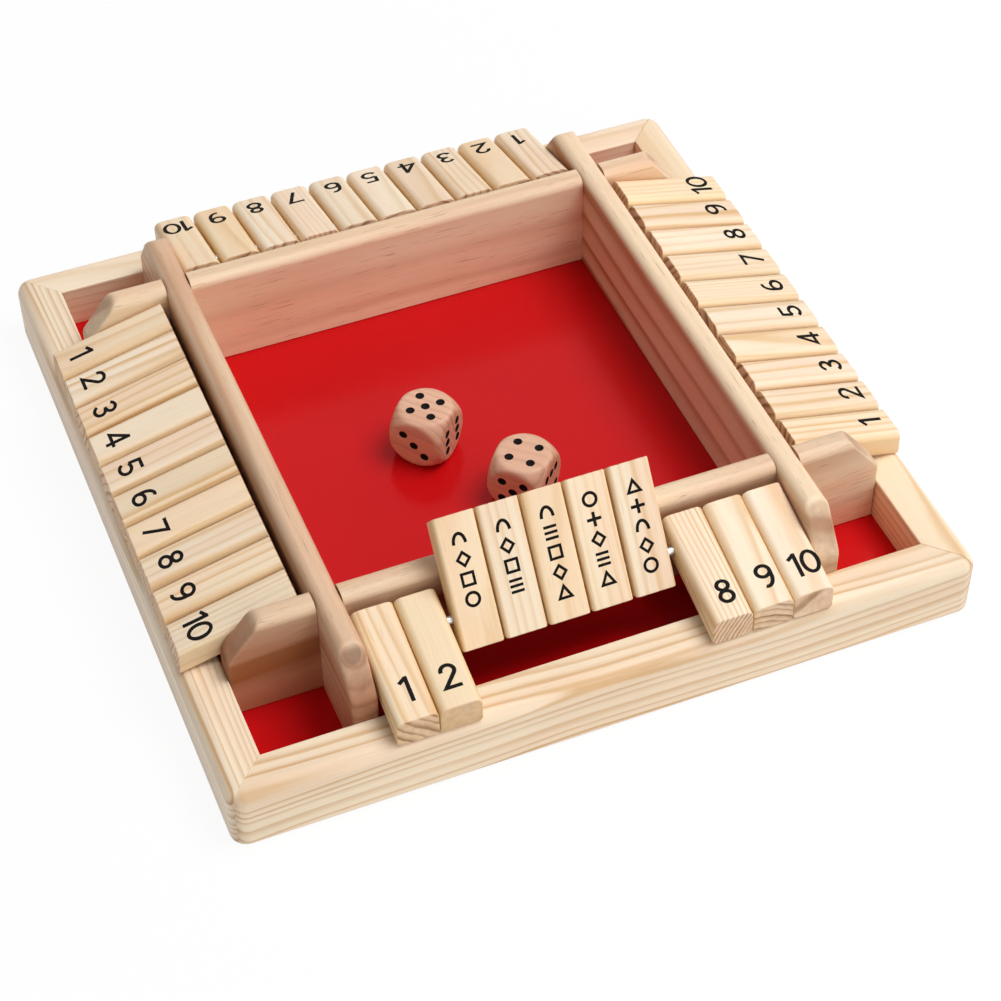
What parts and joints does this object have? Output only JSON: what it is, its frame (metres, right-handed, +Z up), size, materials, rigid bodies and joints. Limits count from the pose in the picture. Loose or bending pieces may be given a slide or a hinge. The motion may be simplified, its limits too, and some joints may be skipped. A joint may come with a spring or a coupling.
{
  "type": "shut the box game",
  "caption": "Square open wooden game tray with rows of hinged number tiles along its four sides, a red floor, raised dividers and loose dice.",
  "frame": {"origin": "on the table under the middle of the box", "axes": "+Z up, +X to the right and -Y towards the player on the front side"},
  "size_m": [0.23, 0.23, 0.0589],
  "materials": {
    "rail_pine": "planed pale pine, bare",
    "divider_pine": "planed pale pine, bare",
    "tile_pine": "sanded pale pine with printed black numbers",
    "board": "plywood, bare",
    "red_lining": "smooth satin red sheet",
    "rod_steel": "bright drawn wire",
    "die_wood": "sanded hardwood with black pips"
  },
  "bodies": {
    "box": {"rail_front": "rail_pine", "rail_right": "rail_pine", "rail_back": "rail_pine", "rail_left": "rail_pine", "base_board": "board", "lining": "red_lining", "divider_left": "divider_pine", "divider_right": "divider_pine", "divider_front": "divider_pine", "divider_back": "divider_pine", "rod_front": "rod_steel", "rod_right": "rod_steel", "rod_back": "rod_steel", "rod_left": "rod_steel"},
    "front_tile_1": {"tile_front_1": "tile_pine"},
    "front_tile_2": {"tile_front_2": "tile_pine"},
    "front_tile_3": {"tile_front_3": "tile_pine"},
    "front_tile_4": {"tile_front_4": "tile_pine"},
    "front_tile_5": {"tile_front_5": "tile_pine"},
    "front_tile_6": {"tile_front_6": "tile_pine"},
    "front_tile_7": {"tile_front_7": "tile_pine"},
    "front_tile_8": {"tile_front_8": "tile_pine"},
    "front_tile_9": {"tile_front_9": "tile_pine"},
    "front_tile_10": {"tile_front_10": "tile_pine"},
    "right_tile_1": {"tile_right_1": "tile_pine"},
    "right_tile_2": {"tile_right_2": "tile_pine"},
    "right_tile_3": {"tile_right_3": "tile_pine"},
    "right_tile_4": {"tile_right_4": "tile_pine"},
    "right_tile_5": {"tile_right_5": "tile_pine"},
    "right_tile_6": {"tile_right_6": "tile_pine"},
    "right_tile_7": {"tile_right_7": "tile_pine"},
    "right_tile_8": {"tile_right_8": "tile_pine"},
    "right_tile_9": {"tile_right_9": "tile_pine"},
    "right_tile_10": {"tile_right_10": "tile_pine"},
    "back_tile_1": {"tile_back_1": "tile_pine"},
    "back_tile_2": {"tile_back_2": "tile_pine"},
    "back_tile_3": {"tile_back_3": "tile_pine"},
    "back_tile_4": {"tile_back_4": "tile_pine"},
    "back_tile_5": {"tile_back_5": "tile_pine"},
    "back_tile_6": {"tile_back_6": "tile_pine"},
    "back_tile_7": {"tile_back_7": "tile_pine"},
    "back_tile_8": {"tile_back_8": "tile_pine"},
    "back_tile_9": {"tile_back_9": "tile_pine"},
    "back_tile_10": {"tile_back_10": "tile_pine"},
    "left_tile_1": {"tile_left_1": "tile_pine"},
    "left_tile_2": {"tile_left_2": "tile_pine"},
    "left_tile_3": {"tile_left_3": "tile_pine"},
    "left_tile_4": {"tile_left_4": "tile_pine"},
    "left_tile_5": {"tile_left_5": "tile_pine"},
    "left_tile_6": {"tile_left_6": "tile_pine"},
    "left_tile_7": {"tile_left_7": "tile_pine"},
    "left_tile_8": {"tile_left_8": "tile_pine"},
    "left_tile_9": {"tile_left_9": "tile_pine"},
    "left_tile_10": {"tile_left_10": "tile_pine"},
    "die_1": {"die_1": "die_wood"},
    "die_2": {"die_2": "die_wood"}
  },
  "joints": [
    {"name": "front_1_hinge", "type": "hinge", "parent": "box", "child": "front_tile_1", "pos_m": [0, -0.0858, 0.032], "axis": [-1, 0, 0], "range_deg": [0, 139.9]},
    {"name": "front_2_hinge", "type": "hinge", "parent": "box", "child": "front_tile_2", "pos_m": [0, -0.0858, 0.032], "axis": [-1, 0, 0], "range_deg": [0, 139.9]},
    {"name": "front_3_hinge", "type": "hinge", "parent": "box", "child": "front_tile_3", "pos_m": [0, -0.0858, 0.032], "axis": [-1, 0, 0], "range_deg": [-139.9, 0]},
    {"name": "front_4_hinge", "type": "hinge", "parent": "box", "child": "front_tile_4", "pos_m": [0, -0.0858, 0.032], "axis": [-1, 0, 0], "range_deg": [-139.9, 0]},
    {"name": "front_5_hinge", "type": "hinge", "parent": "box", "child": "front_tile_5", "pos_m": [0, -0.0858, 0.032], "axis": [-1, 0, 0], "range_deg": [-139.9, 0]},
    {"name": "front_6_hinge", "type": "hinge", "parent": "box", "child": "front_tile_6", "pos_m": [0, -0.0858, 0.032], "axis": [-1, 0, 0], "range_deg": [-139.9, 0]},
    {"name": "front_7_hinge", "type": "hinge", "parent": "box", "child": "front_tile_7", "pos_m": [0, -0.0858, 0.032], "axis": [-1, 0, 0], "range_deg": [-139.9, 0]},
    {"name": "front_8_hinge", "type": "hinge", "parent": "box", "child": "front_tile_8", "pos_m": [0, -0.0858, 0.032], "axis": [-1, 0, 0], "range_deg": [0, 139.9]},
    {"name": "front_9_hinge", "type": "hinge", "parent": "box", "child": "front_tile_9", "pos_m": [0, -0.0858, 0.032], "axis": [-1, 0, 0], "range_deg": [0, 139.9]},
    {"name": "front_10_hinge", "type": "hinge", "parent": "box", "child": "front_tile_10", "pos_m": [0, -0.0858, 0.032], "axis": [-1, 0, 0], "range_deg": [0, 139.9]},
    {"name": "right_1_hinge", "type": "hinge", "parent": "box", "child": "right_tile_1", "pos_m": [0.0858, 0, 0.032], "axis": [0, -1, 0], "range_deg": [0, 137.9]},
    {"name": "right_2_hinge", "type": "hinge", "parent": "box", "child": "right_tile_2", "pos_m": [0.0858, 0, 0.032], "axis": [0, -1, 0], "range_deg": [0, 137.9]},
    {"name": "right_3_hinge", "type": "hinge", "parent": "box", "child": "right_tile_3", "pos_m": [0.0858, 0, 0.032], "axis": [0, -1, 0], "range_deg": [0, 137.9]},
    {"name": "right_4_hinge", "type": "hinge", "parent": "box", "child": "right_tile_4", "pos_m": [0.0858, 0, 0.032], "axis": [0, -1, 0], "range_deg": [0, 137.9]},
    {"name": "right_5_hinge", "type": "hinge", "parent": "box", "child": "right_tile_5", "pos_m": [0.0858, 0, 0.032], "axis": [0, -1, 0], "range_deg": [0, 137.9]},
    {"name": "right_6_hinge", "type": "hinge", "parent": "box", "child": "right_tile_6", "pos_m": [0.0858, 0, 0.032], "axis": [0, -1, 0], "range_deg": [0, 137.9]},
    {"name": "right_7_hinge", "type": "hinge", "parent": "box", "child": "right_tile_7", "pos_m": [0.0858, 0, 0.032], "axis": [0, -1, 0], "range_deg": [0, 137.9]},
    {"name": "right_8_hinge", "type": "hinge", "parent": "box", "child": "right_tile_8", "pos_m": [0.0858, 0, 0.032], "axis": [0, -1, 0], "range_deg": [0, 137.9]},
    {"name": "right_9_hinge", "type": "hinge", "parent": "box", "child": "right_tile_9", "pos_m": [0.0858, 0, 0.032], "axis": [0, -1, 0], "range_deg": [0, 137.9]},
    {"name": "right_10_hinge", "type": "hinge", "parent": "box", "child": "right_tile_10", "pos_m": [0.0858, 0, 0.032], "axis": [0, -1, 0], "range_deg": [0, 137.9]},
    {"name": "back_1_hinge", "type": "hinge", "parent": "box", "child": "back_tile_1", "pos_m": [0, 0.0858, 0.032], "axis": [1, 0, 0], "range_deg": [0, 139.9]},
    {"name": "back_2_hinge", "type": "hinge", "parent": "box", "child": "back_tile_2", "pos_m": [0, 0.0858, 0.032], "axis": [1, 0, 0], "range_deg": [0, 139.9]},
    {"name": "back_3_hinge", "type": "hinge", "parent": "box", "child": "back_tile_3", "pos_m": [0, 0.0858, 0.032], "axis": [1, 0, 0], "range_deg": [0, 139.9]},
    {"name": "back_4_hinge", "type": "hinge", "parent": "box", "child": "back_tile_4", "pos_m": [0, 0.0858, 0.032], "axis": [1, 0, 0], "range_deg": [0, 139.9]},
    {"name": "back_5_hinge", "type": "hinge", "parent": "box", "child": "back_tile_5", "pos_m": [0, 0.0858, 0.032], "axis": [1, 0, 0], "range_deg": [0, 139.9]},
    {"name": "back_6_hinge", "type": "hinge", "parent": "box", "child": "back_tile_6", "pos_m": [0, 0.0858, 0.032], "axis": [1, 0, 0], "range_deg": [0, 139.9]},
    {"name": "back_7_hinge", "type": "hinge", "parent": "box", "child": "back_tile_7", "pos_m": [0, 0.0858, 0.032], "axis": [1, 0, 0], "range_deg": [0, 139.9]},
    {"name": "back_8_hinge", "type": "hinge", "parent": "box", "child": "back_tile_8", "pos_m": [0, 0.0858, 0.032], "axis": [1, 0, 0], "range_deg": [0, 139.9]},
    {"name": "back_9_hinge", "type": "hinge", "parent": "box", "child": "back_tile_9", "pos_m": [0, 0.0858, 0.032], "axis": [1, 0, 0], "range_deg": [0, 139.9]},
    {"name": "back_10_hinge", "type": "hinge", "parent": "box", "child": "back_tile_10", "pos_m": [0, 0.0858, 0.032], "axis": [1, 0, 0], "range_deg": [0, 139.9]},
    {"name": "left_1_hinge", "type": "hinge", "parent": "box", "child": "left_tile_1", "pos_m": [-0.0858, 0, 0.032], "axis": [0, 1, 0], "range_deg": [0, 137.9]},
    {"name": "left_2_hinge", "type": "hinge", "parent": "box", "child": "left_tile_2", "pos_m": [-0.0858, 0, 0.032], "axis": [0, 1, 0], "range_deg": [0, 137.9]},
    {"name": "left_3_hinge", "type": "hinge", "parent": "box", "child": "left_tile_3", "pos_m": [-0.0858, 0, 0.032], "axis": [0, 1, 0], "range_deg": [0, 137.9]},
    {"name": "left_4_hinge", "type": "hinge", "parent": "box", "child": "left_tile_4", "pos_m": [-0.0858, 0, 0.032], "axis": [0, 1, 0], "range_deg": [0, 137.9]},
    {"name": "left_5_hinge", "type": "hinge", "parent": "box", "child": "left_tile_5", "pos_m": [-0.0858, 0, 0.032], "axis": [0, 1, 0], "range_deg": [0, 137.9]},
    {"name": "left_6_hinge", "type": "hinge", "parent": "box", "child": "left_tile_6", "pos_m": [-0.0858, 0, 0.032], "axis": [0, 1, 0], "range_deg": [0, 137.9]},
    {"name": "left_7_hinge", "type": "hinge", "parent": "box", "child": "left_tile_7", "pos_m": [-0.0858, 0, 0.032], "axis": [0, 1, 0], "range_deg": [0, 137.9]},
    {"name": "left_8_hinge", "type": "hinge", "parent": "box", "child": "left_tile_8", "pos_m": [-0.0858, 0, 0.032], "axis": [0, 1, 0], "range_deg": [0, 137.9]},
    {"name": "left_9_hinge", "type": "hinge", "parent": "box", "child": "left_tile_9", "pos_m": [-0.0858, 0, 0.032], "axis": [0, 1, 0], "range_deg": [0, 137.9]},
    {"name": "left_10_hinge", "type": "hinge", "parent": "box", "child": "left_tile_10", "pos_m": [-0.0858, 0, 0.032], "axis": [0, 1, 0], "range_deg": [0, 137.9]},
    {"name": "die_1_lift", "type": "slide", "parent": "box", "child": "die_1", "axis": [0, 0, 1], "range_m": [0, 0.08]},
    {"name": "die_2_lift", "type": "slide", "parent": "box", "child": "die_2", "axis": [0, 0, 1], "range_m": [0, 0.08]}
  ]
}
